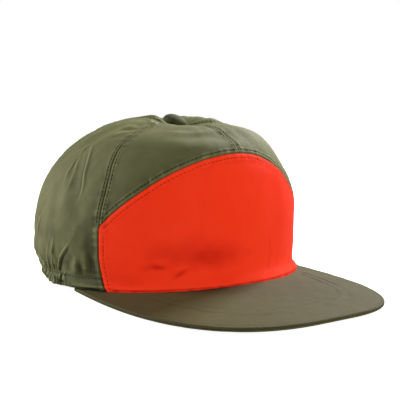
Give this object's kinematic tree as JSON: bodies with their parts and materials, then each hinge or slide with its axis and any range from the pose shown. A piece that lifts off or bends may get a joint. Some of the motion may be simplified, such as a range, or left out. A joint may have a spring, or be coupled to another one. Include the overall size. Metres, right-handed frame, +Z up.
{
  "type": "hunting cap",
  "caption": "Soft cloth cap with a blaze orange front panel under an arched seam, olive gores, a slightly bowed bill, a covered button and a hem gathered at the back.",
  "frame": {"origin": "on the table, under the middle of the cap's whole length and width", "axes": "+Z up, -Y out over the bill, the way the wearer looks, +X to the wearer's left"},
  "size_m": [0.1798, 0.2829, 0.1106],
  "materials": {
    "blaze_cloth": "closely woven blaze orange cloth, faint sheen",
    "olive_cloth": "closely woven olive green cloth, faint sheen",
    "olive_hem": "olive green cloth folded and stitched over elastic",
    "bill_cloth": "olive brown cloth drawn smooth over a board",
    "bill_under_cloth": "dark olive green cloth",
    "button_cloth": "olive green cloth drawn over a domed button"
  },
  "bodies": {
    "root": {"front_panel": "blaze_cloth", "front_gore_right": "olive_cloth", "side_gore_right": "olive_cloth", "back_gore_right": "olive_cloth", "hem_band_right": "olive_hem", "front_gore_left": "olive_cloth", "side_gore_left": "olive_cloth", "back_gore_left": "olive_cloth", "hem_band_left": "olive_hem", "elastic_casing": "olive_hem", "bill_top_cover": "bill_cloth", "bill_under_cover": "bill_under_cloth", "top_button": "button_cloth"}
  },
  "joints": []
}
